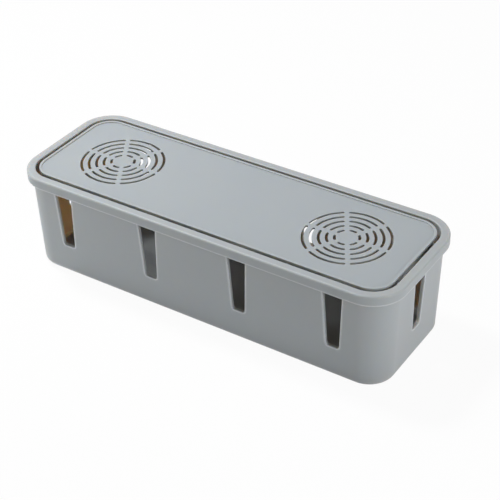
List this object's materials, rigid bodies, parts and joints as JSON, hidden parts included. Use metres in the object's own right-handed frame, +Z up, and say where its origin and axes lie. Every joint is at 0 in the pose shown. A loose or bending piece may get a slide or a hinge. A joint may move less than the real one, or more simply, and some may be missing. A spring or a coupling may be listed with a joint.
{
  "type": "cable management box",
  "caption": "Long grey plastic box for hiding cables on a desk, with a rolled rim, tapered cable slots in its walls, and a lift-off lid with round vents, on thin foot pads.",
  "frame": {"origin": "centre of the footprint, on the surface that the foot pads stand on", "axes": "+X along the box's length, -Y towards the front, +Z up"},
  "size_m": [0.267, 0.093, 0.07],
  "materials": {
    "shell": "moulded polypropylene, fine matt texture, slightly translucent",
    "pads": "matt soft foam rubber"
  },
  "bodies": {
    "box": {"box": "shell", "foot_pad_front_left": "pads", "foot_pad_front_right": "pads", "foot_pad_back_left": "pads", "foot_pad_back_right": "pads"},
    "lid": {"lid": "shell"}
  },
  "joints": [
    {"name": "lid_lift", "type": "slide", "parent": "box", "child": "lid", "axis": [0, 0, 1], "range_m": [0, 0.08]}
  ]
}
